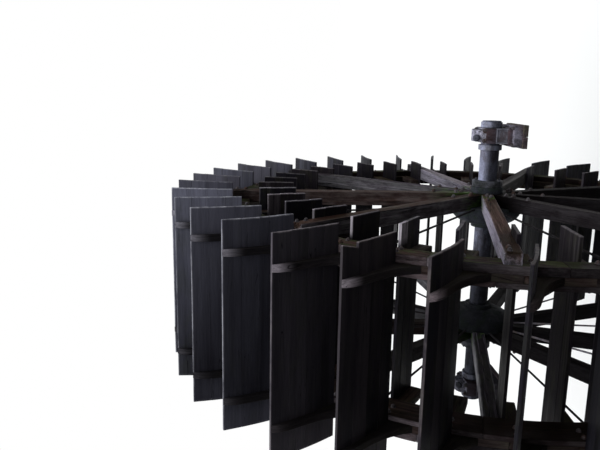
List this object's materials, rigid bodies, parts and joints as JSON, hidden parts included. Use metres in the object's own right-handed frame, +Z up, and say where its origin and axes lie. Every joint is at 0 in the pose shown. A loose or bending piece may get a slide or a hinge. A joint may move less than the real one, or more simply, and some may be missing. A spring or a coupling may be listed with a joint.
{
  "type": "water wheel",
  "caption": "Undershot mill water wheel with curved wooden paddles on two timber rings, timber arms, clamped hubs and a steel shaft in two pillow bearings.",
  "frame": {"origin": "middle of the flat foot of the right bearing's bed block, which the wheel's shaft stands 360 mm above", "axes": "+X along the shaft towards the shaft end seen in the picture, +Z up, -Y towards the front side of the wheel that the picture shows"},
  "size_m": [3.764, 7.995, 7.995],
  "materials": {
    "paddle_wood": "wet near-black weathered planks",
    "inner_board_wood": "wet dark weathered planks",
    "start_wood": "weathered sawn timber",
    "ring_wood": "mossy weathered timber",
    "block_wood": "reddish brown weathered timber",
    "arm_wood": "grey-brown weathered timber",
    "bed_timber": "rough weathered timber blocks",
    "shaft_steel": "worn grey paint, streaked",
    "collar_steel": "worn grey paint",
    "hub_iron": "dull, stained",
    "rod_steel": "dull, rusted",
    "bearing_iron": "rusty, dusty grey"
  },
  "bodies": {
    "bearings": {"bearing_bed_right": "bed_timber", "sole_plate_right": "bearing_iron", "bearing_block_right": "bearing_iron", "bearing_cap_right": "bearing_iron", "bearing_bed_left": "bed_timber", "sole_plate_left": "bearing_iron", "bearing_block_left": "bearing_iron", "bearing_cap_left": "bearing_iron"},
    "wheel": {"shaft": "shaft_steel", "shaft_collars": "collar_steel", "hub_right": "hub_iron", "hub_left": "hub_iron", "hub_clamp_right": "hub_iron", "hub_clamp_left": "hub_iron", "lock_ring_right": "hub_iron", "lock_ring_left": "hub_iron", "arms_right": "arm_wood", "arms_left": "arm_wood", "ring_outer_ply_right": "ring_wood", "ring_inner_ply_right": "ring_wood", "ring_blocks_right": "block_wood", "ring_outer_ply_left": "ring_wood", "ring_inner_ply_left": "ring_wood", "ring_blocks_left": "block_wood", "tie_rods_right": "rod_steel", "tie_rods_left": "rod_steel", "starts_right": "start_wood", "starts_left": "start_wood", "paddles_1": "paddle_wood", "paddles_2": "paddle_wood", "paddles_3": "paddle_wood", "paddles_4": "paddle_wood", "paddles_5": "paddle_wood", "paddles_6": "paddle_wood", "paddles_7": "paddle_wood", "paddles_8": "paddle_wood", "paddles_9": "paddle_wood", "inner_boards_1": "inner_board_wood", "inner_boards_2": "inner_board_wood", "inner_boards_3": "inner_board_wood", "inner_boards_4": "inner_board_wood", "inner_boards_5": "inner_board_wood", "inner_boards_6": "inner_board_wood", "inner_boards_7": "inner_board_wood", "inner_boards_8": "inner_board_wood", "inner_boards_9": "inner_board_wood"}
  },
  "joints": [
    {"name": "wheel_spin", "type": "hinge", "parent": "bearings", "child": "wheel", "pos_m": [-1.7, 0, 0.36], "axis": [1, 0, 0], "continuous": true}
  ]
}
